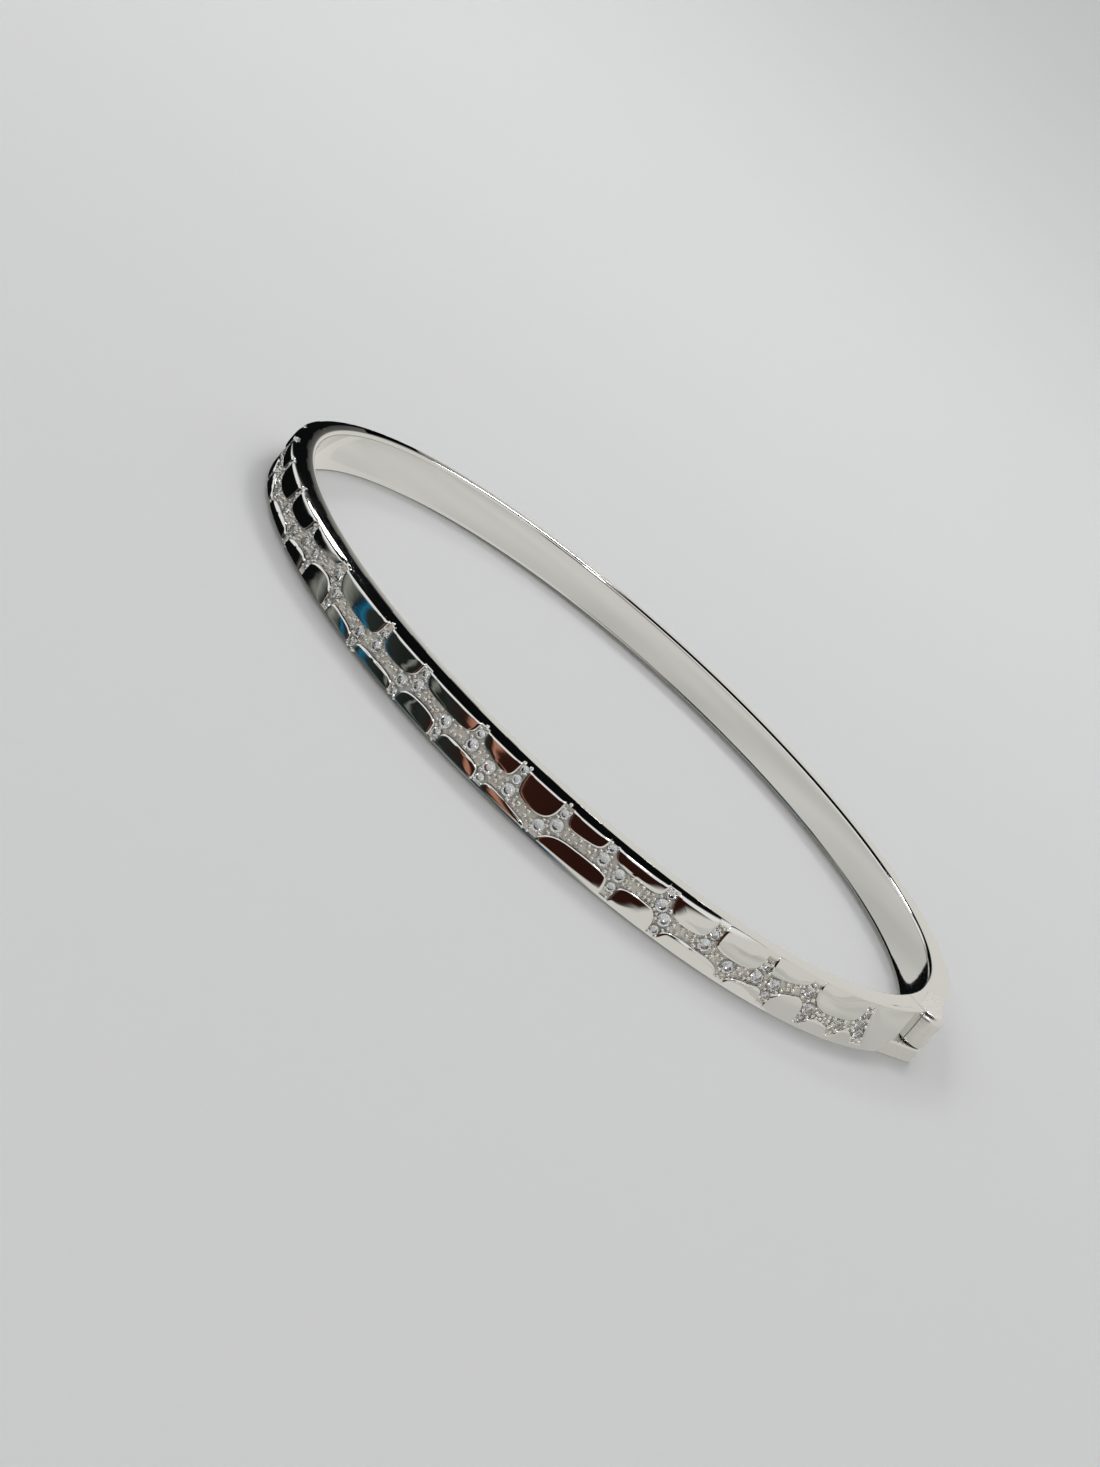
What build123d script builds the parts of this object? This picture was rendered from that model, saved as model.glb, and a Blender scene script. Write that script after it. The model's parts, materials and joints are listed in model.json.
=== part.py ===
from build123d import *
import math
import os

# Hinged oval bangle: a decorated front half, a plain back half, a barrel hinge at +X and a
# tongue-and-box clasp at -X. The bangle lies flat with the wrist opening along Z, its long
# axis along X and the decorated half on the -Y side. Units are millimetres.

# Oval
outer_a = 32.5            # half the long outer axis
outer_b = 27.0            # half the short outer axis
wall = 2.0                # radial thickness
front_height = 3.8        # band height of the decorated half
back_height = 3.0         # band height at the middle of the plain half
edge_round = 0.25         # rounding along the band edges
relief = 0.4              # depth of the stone channels below the scale tops
taper_start_y = 4.0       # the plain half keeps its full height up to here
taper_end_y = 30.0        # and reaches its lowest height here
beyond = 100.0            # larger than the bangle, for the blocks that cut it

# Joints between the halves
hinge_seam_y = 1.9        # meeting plane at the hinge
clasp_seam_y = -3.5       # meeting plane at the clasp
seam_gap = 0.05           # hairline left between the two halves

# Hinge
pin_x = 32.0
pin_y = 3.4
pin_r = 0.45
pin_clearance = 0.03      # radial running clearance in the upper knuckle
pin_below_top = 0.45      # the pin's end below the upper knuckle's face
bore_below_top = 0.35     # the end of the blind bore below that face
knuckle_r = 1.3
knuckle_split_z = -0.7    # height where the two knuckles meet
knuckle_gap = 0.06
front_anchor = (31.4, 0.2, 1.0)      # place and radius of the lower knuckle's root in the band
back_anchor = (30.65, 6.2, 0.95)     # the same for the upper knuckle

# Clasp
tongue_mid_r = 63.4       # radius of the tongue's middle about the hinge pin
tongue_length = 3.2
tongue_height = 1.9
leaf = 0.22               # thickness of one spring leaf
leaf_space = 0.34         # space between the leaves
box_clearance = 0.12      # free space around the tongue in its box
root_length = 2.2         # part of the tongue held inside the back half
plate_depth = 0.45        # thickness of the catch plate
plate_height = 2.8
plate_margin = 0.3        # how far the plate reaches past the tongue, inwards and outwards
thumb_width = 1.4
thumb_length = 1.25       # from the seam to the back of the thumb press
thumb_proud = 0.35
thumb_gap = 0.1           # free space around the spring and the thumb press
cut_past = 1.0            # how far a cut runs past the face that it opens
slot_reach = 3.0          # how far the thumb slot runs outwards from the spring

# Scales and channels
plain_end = 8.0           # plain stretch past the last channel, trimmed at the seams
channel_half = 0.27       # half the width of a channel
scale_round = 0.6         # corner radius of a scale
rim_overhang = 0.8        # how far a scale's outline runs past the band edge before trimming

# Stones
stone_large_r = 0.46
stone_small_r = 0.33
stone_spacing = 0.12      # least space between two stones of a branch
stone_edge_room = 0.1     # least space between a stone and the band edge
crown_share = 0.28        # heights and table of the cut, as shares of the stone's radius
girdle_share = 0.08
pavilion_share = 0.8
table_share = 0.56
seat_share = 1.4
seat_clearance = 0.02
girdle_depth = 0.16       # how far the girdle sits below the scale tops

# Each channel branch runs from the band edge to the zigzag line between the two rows:
# distance from the hinge end at the edge, then distance and height where it meets the zigzag.
top_branches = [
    (5.2, 4.9, 0.0), (10.6, 10.8, 0.7), (14.8, 14.8, -0.1), (18.9, 19.1, -0.2),
    (22.9, 22.9, 0.3), (27.6, 27.6, 0.3), (31.3, 31.2, 0.0), (35.0, 35.0, -0.4),
    (38.7, 38.7, 0.1), (44.4, 44.2, 0.2), (48.6, 48.6, -0.2), (55.0, 55.1, 0.7),
    (60.2, 60.2, 0.0), (64.9, 65.1, -0.2), (70.0, 70.1, -0.1), (75.0, 74.9, 0.4),
    (79.4, 79.4, -0.1), (84.3, 84.1, 0.2),
]
bottom_branches = [
    (3.4, 4.2, -0.8), (6.8, 6.9, -0.6), (10.0, 9.9, -0.4), (13.4, 13.4, 0.0),
    (16.9, 16.9, -0.6), (22.3, 22.2, -0.4), (26.1, 26.2, 0.1), (32.3, 32.1, -0.8),
    (37.0, 36.9, -0.2), (41.2, 41.1, -0.1), (45.4, 45.4, -0.4), (50.4, 50.4, -0.5),
    (54.3, 54.2, -0.2), (58.4, 58.4, 0.1), (62.5, 62.4, -0.4), (68.7, 68.6, -0.6),
    (72.8, 72.9, 0.0), (77.4, 77.4, -0.5), (81.6, 81.6, -0.2), (85.2, 84.9, -0.7),
]

front_path = EllipticalCenterArc((0, 0), outer_a, outer_b, start_angle=180, arc_size=180)


def plane_on_front(distance, height):
    """Plane on the outer face: X along the band towards the hinge, Y up, Z outwards."""
    along = front_path.length - distance
    spot = front_path.position_at(along, position_mode=PositionMode.LENGTH)
    tangent = front_path.tangent_at(along, position_mode=PositionMode.LENGTH)
    outward = tangent.cross(Vector(0, 0, 1))
    return Plane(origin=spot + Vector(0, 0, height), x_dir=tangent, z_dir=outward)


def oval_ring(outset, inset, height):
    """Oval ring between two offsets from the outer face, centred on z = 0."""
    outer = Ellipse(outer_a + outset, outer_b + outset)
    inner = Ellipse(outer_a - inset, outer_b - inset)
    return extrude(outer - inner, height / 2, both=True)


def half_space(front, gap):
    """Block that holds one half of the bangle, cut at both seams less the gap."""
    middle = beyond / 2
    side = -1 if front else 1
    block = Box(beyond, beyond, beyond)
    right = block.moved(Location((middle, hinge_seam_y + side * (middle + gap), 0)))
    left = block.moved(Location((-middle, clasp_seam_y + side * (middle + gap), 0)))
    return right + left


def cylinder_z(x, y, radius, low, high):
    return extrude(Plane((x, y, low)) * Circle(radius), high - low)


def zigzag_between(first, last, nodes):
    return [node for node in nodes if first < node[0] < last]


def scale_outlines():
    """Cells of the channel network, as corner points in distance and height."""
    edge = front_height / 2 + rim_overhang
    top_nodes = [(mid, z) for _, mid, z in top_branches]
    bottom_nodes = [(mid, z) for _, mid, z in bottom_branches]
    cells = []
    for start, end in zip(top_branches, top_branches[1:]):
        lower_side = zigzag_between(start[1], end[1], bottom_nodes)
        cells.append([(start[0], edge), start[1:], *lower_side, end[1:], (end[0], edge)])
    for start, end in zip(bottom_branches, bottom_branches[1:]):
        upper_side = zigzag_between(start[1], end[1], top_nodes)
        cells.append([(start[0], -edge), start[1:], *upper_side, end[1:], (end[0], -edge)])
    for which, reach in ((0, -plain_end), (-1, plain_end)):
        top = top_branches[which]
        bottom = bottom_branches[which]
        far = bottom[0] + reach
        cells.append([(far, edge), (top[0], edge), top[1:], bottom[1:], (bottom[0], -edge), (far, -edge)])
    return cells


def make_scale(cell, layer):
    """Rounded pad on the band: the cell drawn in by half a channel, trimmed to the layer."""
    distances = [distance for distance, _ in cell]
    middle = (min(distances) + max(distances)) / 2
    corners = [(middle - distance, height) for distance, height in cell]
    face = make_face(Polyline(*corners, close=True))
    face = offset(face, -(channel_half + scale_round), kind=Kind.INTERSECTION)
    face = offset(face, scale_round, kind=Kind.ARC)
    block = extrude(plane_on_front(middle, 0) * face, cut_past, both=True)
    return layer & block


def stone_spots():
    """Stone places along each branch: a large stone at each meeting, a small one beside it."""
    edge = front_height / 2
    spots = {}
    for side, branches in (("upper", top_branches), ("lower", bottom_branches)):
        sign = 1 if side == "upper" else -1
        for number, (at_edge, mid, z) in enumerate(branches, start=1):
            length = edge - sign * z
            stones = [(mid, z, stone_large_r)]
            reach = stone_large_r + stone_small_r + stone_spacing
            while reach < length - stone_small_r - stone_edge_room:
                part = reach / length
                stones.append((mid + (at_edge - mid) * part, z + sign * reach, stone_small_r))
                reach += 2 * stone_small_r + stone_spacing
            spots[f"stones_{side}_channel_{number:02d}"] = stones
    return spots


def make_stone(distance, height, radius):
    """Round brilliant: a low table and crown, a thin girdle and a cone below it."""
    crown = crown_share * radius
    girdle = girdle_share * radius
    point = -girdle - pavilion_share * radius
    profile = Polyline(
        (0, crown), (table_share * radius, crown), (radius, 0), (radius, -girdle), (0, point), close=True
    )
    gem = revolve(Plane.XZ * make_face(profile), Axis.Z)
    seat = plane_on_front(distance, height).offset(-girdle_depth - crown)
    return seat.location * gem


def make_seat(distance, height, radius):
    """Drilled hole that a stone sits in."""
    depth = girdle_depth + seat_share * radius
    top = plane_on_front(distance, height)
    return extrude(top * Circle(radius + seat_clearance), depth, dir=-top.z_dir)


def hinge_arm(anchor_x, anchor_y, anchor_r, grow, low, high):
    """Knuckle about the pin, drawn out to a round anchor inside the band."""
    plane = Plane.XY.offset(low)
    knuckle = Pos(pin_x, pin_y) * Circle(knuckle_r + grow)
    anchor = Pos(anchor_x, anchor_y) * Circle(anchor_r + grow)
    outline = make_hull(knuckle.edges() + anchor.edges())
    return extrude(plane * outline, high - low)


def sector(inner_r, outer_r, low_y, high_y, height):
    """Slice of a ring about the hinge pin, at the clasp: the path that the tongue swings along."""
    ring = Circle(outer_r) - Circle(inner_r)
    bar = extrude(Pos(pin_x, pin_y) * ring, height / 2, both=True)
    window = Box(2 * slot_reach + outer_r - inner_r, high_y - low_y, height)
    return bar & window.moved(Location((pin_x - tongue_mid_r, (low_y + high_y) / 2, 0)))


half_height = front_height / 2
tongue_half = leaf + leaf_space / 2
tip_y = clasp_seam_y - tongue_length
inner_leaf_r = tongue_mid_r - tongue_half
outer_leaf_r = tongue_mid_r + tongue_half
thumb_back_y = clasp_seam_y + thumb_length
root_y = clasp_seam_y + root_length
slot_back_y = thumb_back_y + thumb_gap
slot_front_y = clasp_seam_y - cut_past
box_half = tongue_half + box_clearance
box_end_y = tip_y - 2 * box_clearance
box_height = tongue_height + 2 * box_clearance
plate_half = tongue_half + plate_margin
upper_low_z = knuckle_split_z + knuckle_gap

# Stones
stones = stone_spots()

# Front half: band, raised scales, lower hinge knuckle, stone seats and the clasp box
layer = oval_ring(0, relief, front_height)
layer = fillet(layer.faces().sort_by(SortBy.AREA)[-1].edges(), edge_round)
front_band = oval_ring(-relief, wall, front_height)
front_band = fillet(front_band.faces().sort_by(SortBy.AREA)[-2].edges(), edge_round)
front_half = front_band + [make_scale(cell, layer) for cell in scale_outlines()]
front_half = front_half & half_space(True, seam_gap)
front_half += hinge_arm(*front_anchor, 0, -half_height, knuckle_split_z)
front_half -= cylinder_z(pin_x, pin_y, pin_r, -half_height, half_height)
front_half -= sector(tongue_mid_r - box_half, tongue_mid_r + box_half, box_end_y, clasp_seam_y, box_height)
plate_space = sector(
    tongue_mid_r - plate_half, tongue_mid_r + plate_half, clasp_seam_y - plate_depth, clasp_seam_y, plate_height
)
front_half -= plate_space
front_half -= [make_seat(*spot) for group in stones.values() for spot in group]

# Catch plate: closes the clasp box around the tongue's window
plate_window = sector(
    tongue_mid_r - box_half, tongue_mid_r + box_half, slot_front_y, clasp_seam_y + cut_past, box_height
)
catch_plate = sector(
    tongue_mid_r - plate_half,
    tongue_mid_r + plate_half,
    clasp_seam_y - plate_depth,
    clasp_seam_y - seam_gap,
    plate_height,
)
catch_plate -= plate_window

# Back half: plain band that tapers towards its middle, upper hinge knuckle and tongue slot
back_half = oval_ring(0, wall, front_height)
taper = Polyline(
    (-outer_b, half_height), (taper_start_y, half_height), (taper_end_y, back_height / 2),
    (taper_end_y, -back_height / 2), (taper_start_y, -half_height), (-outer_b, -half_height), close=True,
)
back_half &= extrude(Plane.YZ * make_face(taper), beyond, both=True)
back_half &= half_space(False, seam_gap)
back_half += hinge_arm(*back_anchor, 0, upper_low_z, half_height)
back_half -= hinge_arm(*front_anchor, knuckle_gap, -half_height, upper_low_z)
back_half -= cylinder_z(pin_x, pin_y, pin_r + pin_clearance, -half_height, half_height - bore_below_top)
back_half -= sector(inner_leaf_r, inner_leaf_r + leaf, slot_front_y, root_y, tongue_height)
back_half -= sector(
    inner_leaf_r + leaf, outer_leaf_r + thumb_gap, slot_front_y, slot_back_y, tongue_height + 2 * thumb_gap
)
back_half -= sector(
    outer_leaf_r, outer_leaf_r + slot_reach, slot_front_y, slot_back_y, thumb_width + 2 * thumb_gap
)

# Hinge pin: fast in the front half's knuckle, running in the back half's
hinge_pin = cylinder_z(pin_x, pin_y, pin_r, -half_height, half_height - pin_below_top)

# Clasp tongue: a fixed inner leaf with the fold, and the springing outer leaf
tongue_inner_leaf = sector(inner_leaf_r, inner_leaf_r + leaf, tip_y, root_y, tongue_height)
tongue_inner_leaf += sector(inner_leaf_r, outer_leaf_r, tip_y, tip_y + leaf, tongue_height)
tongue_outer_leaf = sector(
    outer_leaf_r - leaf, outer_leaf_r, tip_y + leaf + seam_gap, thumb_back_y, tongue_height
)
outer_at_thumb = -outer_a * math.sqrt(1 - (clasp_seam_y / outer_b) ** 2)
thumb_depth = pin_x - outer_at_thumb + thumb_proud - outer_leaf_r
thumb_press = sector(
    outer_leaf_r, outer_leaf_r + thumb_depth, clasp_seam_y + thumb_gap + seam_gap, thumb_back_y - seam_gap,
    thumb_width,
)

os.makedirs("parts", exist_ok=True)
nodes = {
    "front_half": front_half,
    "back_half": back_half,
    "hinge_pin": hinge_pin,
    "catch_plate": catch_plate,
    "tongue_inner_leaf": tongue_inner_leaf,
    "tongue_outer_leaf": tongue_outer_leaf,
    "thumb_press": thumb_press,
}
for name, spots in stones.items():
    nodes[name] = Compound([make_stone(*spot) for spot in spots])
for name, shape in nodes.items():
    export_step(shape, f"parts/{name}.step")
print(len(nodes), "nodes")
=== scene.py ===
import json
import math

import bpy
import numpy as np
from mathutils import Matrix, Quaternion, Vector


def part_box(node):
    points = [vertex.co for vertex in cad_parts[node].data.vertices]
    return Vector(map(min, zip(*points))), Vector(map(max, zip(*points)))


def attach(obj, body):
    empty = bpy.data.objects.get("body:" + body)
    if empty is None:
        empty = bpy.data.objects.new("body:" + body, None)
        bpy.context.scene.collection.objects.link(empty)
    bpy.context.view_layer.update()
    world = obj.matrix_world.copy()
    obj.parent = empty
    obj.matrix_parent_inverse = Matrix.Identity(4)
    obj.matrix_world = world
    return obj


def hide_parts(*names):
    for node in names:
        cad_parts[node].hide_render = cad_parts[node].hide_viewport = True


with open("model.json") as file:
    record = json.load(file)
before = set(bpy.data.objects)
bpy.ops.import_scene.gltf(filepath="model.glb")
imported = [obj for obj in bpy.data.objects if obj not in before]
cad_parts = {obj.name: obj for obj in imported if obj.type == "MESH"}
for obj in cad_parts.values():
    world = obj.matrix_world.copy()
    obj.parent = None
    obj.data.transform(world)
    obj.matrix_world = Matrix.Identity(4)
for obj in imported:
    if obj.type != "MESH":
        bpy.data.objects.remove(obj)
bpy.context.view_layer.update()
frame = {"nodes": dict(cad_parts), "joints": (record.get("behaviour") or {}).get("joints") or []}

mm = 0.001
scene = bpy.context.scene
joints = {joint["name"]: joint for joint in frame["joints"]}
hingeX, hingeY = (value / mm for value in joints["hinge_opening"]["pos_m"][:2])

# The oval that both halves follow, in millimetres. Its outer size is read from the frame.
oval = {
    "halfLong": -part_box("back_half")[0].x / mm,
    "halfShort": -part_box("front_half")[0].y / mm,
    "halfHeight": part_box("front_half")[1].z / mm,
    "wall": 2.0,
    "crown": 0.12,                    # fall of the outer face from its middle to the band's edge
    "flank": 0.34,                    # height of the sloping side between the outer and the edge face
    "sideNarrow": 0.1,                # how far that side reaches inwards at the hinge
    "sideWide": 1.15,                 # and at the clasp
    "sideFrom": 6.0,                  # it starts to widen at this distance from the hinge
    "sideLength": 80.0,               # and has its full reach this much further on
    "faceSpacing": 1.7,               # above 1 crowds a section's steps on the sloping sides
    "innerRound": 0.35,
    "edgeLip": 0.04,                  # short flat step at the outer side of the edge face
    "hairline": 0.005,                # coplanar faces are kept this far apart
}
past = 1.0                            # cutters reach this far past what they cut


# ---- helpers for meshes

# Makes a mesh from points in millimetres; faces are turned round if the volume comes out negative.
def meshPiece(name, points, faces, material, sharpAngle=34, flat=False):
    points = np.asarray(points, float)
    mesh = bpy.data.meshes.new(name)
    mesh.from_pydata((points * mm).tolist(), [], [list(map(int, face)) for face in faces])
    mesh.calc_loop_triangles()
    corners = np.empty(len(mesh.loop_triangles) * 3, int)
    mesh.loop_triangles.foreach_get("vertices", corners)
    a, b, c = points[corners.reshape(-1, 3)].transpose(1, 0, 2)
    if np.einsum("ij,ij->", a, np.cross(b, c)) < 0:
        mesh.flip_normals()
    mesh.polygons.foreach_set("use_smooth", [not flat] * len(mesh.polygons))
    if not flat:
        mesh.set_sharp_from_angle(angle=math.radians(sharpAngle))
    if material:
        mesh.materials.append(material)
    piece = bpy.data.objects.new(name, mesh)
    scene.collection.objects.link(piece)
    return piece


# Quads between the lines of a grid; with closedColumns the last column joins the first.
def gridFaces(rows, columns, closedColumns=True, start=0):
    r = np.arange(rows - 1)[:, None]
    c = np.arange(columns if closedColumns else columns - 1)[None, :]
    after = (c + 1) % columns
    quads = np.stack(np.broadcast_arrays(
        r * columns + c, r * columns + after, (r + 1) * columns + after, (r + 1) * columns + c), -1)
    return (quads.reshape(-1, 4) + start).tolist()


# A closed tube of grid rows with one flat many-sided face at each end.
def cappedTube(grid):
    rows, columns = grid.shape[:2]
    faces = gridFaces(rows, columns)
    faces.append(list(range(columns))[::-1])
    faces.append(list(range((rows - 1) * columns, rows * columns)))
    return grid.reshape(-1, 3), faces


# Cuts closed shapes out of a piece and keeps the result as its mesh.
def carve(piece, cutters, sharpAngle=34):
    for cutter in cutters:
        cut = piece.modifiers.new(cutter.name, "BOOLEAN")
        cut.operation = "DIFFERENCE"
        cut.solver = "EXACT"
        cut.object = cutter
    bpy.context.view_layer.update()
    solid = bpy.data.meshes.new_from_object(piece.evaluated_get(bpy.context.evaluated_depsgraph_get()))
    piece.modifiers.clear()
    piece.data = solid
    solid.set_sharp_from_angle(angle=math.radians(sharpAngle))
    for cutter in cutters:
        bpy.data.objects.remove(cutter)


# ---- the oval as functions of distance, height and depth

ovalAngles = np.linspace(-0.4, math.pi + 0.4, 6001)
ovalSteps = np.hypot(
    np.diff(oval["halfLong"] * np.cos(ovalAngles)), np.diff(oval["halfShort"] * np.sin(ovalAngles)))
ovalLengths = np.concatenate([[0], np.cumsum(ovalSteps)])
ovalLengths -= np.interp(0, ovalAngles, ovalLengths)


# Fall of the crowned face: crown times the height's share of the half height, squared.
def crownFall(height):
    return oval["crown"] * (height / oval["halfHeight"]) ** 2


# Point on the front half at a distance from the hinge end along the outer oval:
# x = (a + depth) cos t, y = -(b + depth) sin t, where t is the oval's angle at that distance.
def onFront(distance, height, depth):
    distance, height, depth = np.broadcast_arrays(distance, height, depth)
    turn = np.interp(distance, ovalLengths, ovalAngles)
    x = (oval["halfLong"] + depth) * np.cos(turn)
    y = -(oval["halfShort"] + depth) * np.sin(turn)
    return np.stack([x, y, height], -1)


# Unit vectors along the band and outwards: the oval's tangent and normal at that distance.
def frontAxes(distance):
    turn = np.interp(distance, ovalLengths, ovalAngles)
    along = np.stack([-oval["halfLong"] * np.sin(turn), -oval["halfShort"] * np.cos(turn), 0 * turn], -1)
    out = np.stack([np.cos(turn) / oval["halfLong"], -np.sin(turn) / oval["halfShort"], 0 * turn], -1)
    return tuple(v / np.linalg.norm(v, axis=-1, keepdims=True) for v in (along, out))


# Height of a smooth step from 0 at low to 1 at high: 3t^2 - 2t^3.
def smoothStep(low, high, value):
    t = np.clip((value - low) / (high - low), 0, 1)
    return t * t * (3 - 2 * t)


# Smooth minimum of two heights: -log(exp(-k a) + exp(-k b)) / k, so a larger k gives a tighter edge.
def softMin(a, b, k):
    low = np.minimum(a, b)
    return low - np.log(np.exp(-k * (a - low)) + np.exp(-k * (b - low))) / k


# How far the sloping side reaches inwards: narrow at the hinge, then n + (w - n) t (2 - t), wide
# at the clasp, where t is the share of the way.
def sideReach(distance):
    share = np.clip((distance - oval["sideFrom"]) / oval["sideLength"], 0, 1)
    return oval["sideNarrow"] + (oval["sideWide"] - oval["sideNarrow"]) * share * (2 - share)


# Sloping side along the band's edges: a straight line from the end of the crowned face down to
# the side's reach at the full height.
def flankDepth(height, distance):
    begin = oval["halfHeight"] - oval["flank"]
    slope = (sideReach(distance) - crownFall(begin)) / oval["flank"]
    return -crownFall(begin) - slope * (np.abs(height) - begin)


# Rounded corner of a section: a quadratic curve from the side before to the side after.
def softCorner(before, corner, after, reach, steps):
    t = np.linspace(0, 1, steps)[:, None]
    first = corner + (before - corner) / np.linalg.norm(before - corner) * reach
    last = corner + (after - corner) / np.linalg.norm(after - corner) * reach
    return (1 - t) ** 2 * first + 2 * t * (1 - t) * corner + t ** 2 * last


# Closed section of a band at one distance as (height, depth): flat inner face, edge faces and an
# outer face that follows faceDepth, with its steps closest together on the sloping sides.
def bandSection(half, distance, faceDepth, faceSteps):
    inner, low = -oval["wall"], faceDepth(half, distance)
    corners = np.array([[0, inner], [half, inner], [half, low]])
    side = np.concatenate([softCorner(*corners, oval["innerRound"], 7), [[half, low - oval["edgeLip"]]]])
    share = np.linspace(1, -1, faceSteps)
    heights = half * np.sign(share) * (1 - (1 - np.abs(share)) ** oval["faceSpacing"])
    face = np.stack([heights, faceDepth(heights, distance)], -1)
    return np.concatenate([side, face, side[::-1] * (-1, 1)])


# ---- channel network of the front half

# Each channel branch: distance from the hinge end at the band's edge, then distance and height
# where it meets the zigzag line between the two rows.
channels = {
    "upper": [
        (5.2, 4.9, 0.0), (10.6, 10.8, 0.7), (14.8, 14.8, -0.1), (18.9, 19.1, -0.2),
        (22.9, 22.9, 0.3), (27.6, 27.6, 0.3), (31.3, 31.2, 0.0), (35.0, 35.0, -0.4),
        (38.7, 38.7, 0.1), (44.4, 44.2, 0.2), (48.6, 48.6, -0.2), (55.0, 55.1, 0.7),
        (60.2, 60.2, 0.0), (64.9, 65.1, -0.2), (70.0, 70.1, -0.1), (75.0, 74.9, 0.4),
        (79.4, 79.4, -0.1), (84.3, 84.1, 0.2),
    ],
    "lower": [
        (3.4, 4.2, -0.8), (6.8, 6.9, -0.6), (10.0, 9.9, -0.4), (13.4, 13.4, 0.0),
        (16.9, 16.9, -0.6), (22.3, 22.2, -0.4), (26.1, 26.2, 0.1), (32.3, 32.1, -0.8),
        (37.0, 36.9, -0.2), (41.2, 41.1, -0.1), (45.4, 45.4, -0.4), (50.4, 50.4, -0.5),
        (54.3, 54.2, -0.2), (58.4, 58.4, 0.1), (62.5, 62.4, -0.4), (68.7, 68.6, -0.6),
        (72.8, 72.9, 0.0), (77.4, 77.4, -0.5), (81.6, 81.6, -0.2), (85.2, 84.9, -0.7),
    ],
    "depth": 0.4,
    "edgeDepth": 0.3,                 # the channels get shallower towards the band's edges
    "floorHalf": 1.36,                # the floor is this high each way, and its end walls
    "wallHalf": 1.6,                  # reach the outer face here
    "wallDrop": 0.03,                 # the walls' tops lie this far below the scales
    "riseFrom": 1.0,                  # height at which the floor begins to rise to the edge depth
    "halfWidth": 0.26,
    "roundness": 2.7,                 # smaller makes rounder scales
    "edgeRoundness": 16,              # the same where a scale's side is the band's edge or a seam
    "outlinePoints": {"upper": 104, "lower": 104, "plain": 128},
    "rays": 720,                      # directions in which an outline is searched for
    "halvings": 40,                   # steps of each search
    "gapLimits": (-2, 9),             # keeps the exponentials within range
}
seams = {"frontHinge": 2.03, "frontClasp": -3.55, "backHinge": 2.1, "backClasp": -3.45}
hingeTurn = math.asin(seams["frontHinge"] / oval["halfShort"])
claspTurn = math.pi - math.asin(-seams["frontClasp"] / oval["halfShort"])
hingeEnd = -np.interp(hingeTurn, ovalAngles, ovalLengths)
claspEnd = np.interp(claspTurn, ovalAngles, ovalLengths)


# Cells of the network as corner points, with True for each side on the band's edge or a seam.
def scaleCells():
    edge = oval["halfHeight"]
    cells = {"upper": [], "lower": [], "plain": []}
    for side, other, sign in (("upper", "lower", 1), ("lower", "upper", -1)):
        across = [branch[1:] for branch in channels[other]]
        for first, last in zip(channels[side], channels[side][1:]):
            between = [spot for spot in across if first[1] < spot[0] < last[1]]
            corners = [(first[0], sign * edge), first[1:], *between, last[1:], (last[0], sign * edge)]
            cells[side].append((corners, [False] * (len(corners) - 1) + [True]))
    for which, end in ((0, hingeEnd), (-1, claspEnd)):
        top, low = channels["upper"][which], channels["lower"][which]
        corners = [(end, edge), (top[0], edge), top[1:], low[1:], (low[0], -edge), (end, -edge)]
        cells["plain"].append((corners, [True, False, False, False, True, True]))
    return cells


# Distance of each spot inside each side of a cell: the side's inward normal times the offset.
def cellGaps(spot, corners):
    corners = np.array(corners, float)
    ends = np.roll(corners, -1, 0)
    normal = np.stack([corners[:, 1] - ends[:, 1], ends[:, 0] - corners[:, 0]], -1)
    normal /= np.linalg.norm(normal, axis=1, keepdims=True)
    normal *= np.sign(np.einsum("ij,ij->i", normal, corners.mean(0) - corners))[:, None]
    return corners, np.einsum("pkj,kj->pk", spot[:, None] - corners, normal)


# Outline of a scale: where the sum of exp(-k g) over the cell's sides is 1, with g the distance
# inside each side. k is small on the channel sides, which rounds them into an oval.
def scaleOutline(corners, onEdge, points):
    centre = np.mean(corners, 0)
    inset = np.where(onEdge, 0, channels["halfWidth"])
    sharp = np.where(onEdge, channels["edgeRoundness"], channels["roundness"])
    spread = np.ptp(corners, axis=0) / 2
    turn = np.linspace(0, 2 * math.pi, channels["rays"] + 1)[:-1]
    ray = np.stack([spread[0] * np.cos(turn), spread[1] * np.sin(turn)], -1)
    low, high = np.zeros(len(turn)), np.full(len(turn), 3.0)
    for _ in range(channels["halvings"]):
        middle = (low + high) / 2
        _, gap = cellGaps(centre + ray * middle[:, None], corners)
        inside = np.exp(-sharp * np.clip(gap - inset, *channels["gapLimits"])).sum(1) < 1
        low, high = np.where(inside, middle, low), np.where(inside, high, middle)
    outline = centre + ray * low[:, None]
    loop = np.concatenate([outline, outline[:1]])
    length = np.concatenate([[0], np.cumsum(np.linalg.norm(np.diff(loop, axis=0), axis=1))])
    even = np.linspace(0, length[-1], points + 1)[:-1]
    return centre, np.stack([np.interp(even, length, loop[:, k]) for k in (0, 1)], -1)


# Depth of the channel floor: the crown, less the channel's depth, which lessens near the edges.
def floorDepth(height):
    share = smoothStep(channels["riseFrom"], channels["wallHalf"], np.abs(height))
    return -crownFall(height) - channels["depth"] + (channels["depth"] - channels["edgeDepth"]) * share


# Stones along every branch: a large one where it meets the zigzag, then small ones to the edge.
stones = {
    "large": 0.46, "small": 0.33,     # radii
    "spacing": 0.12, "edgeRoom": 0.1, "sink": 0.1,
    "tilt": 0.05,                     # spread of the slopes at which they were set
    "seed": 7,
}


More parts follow.
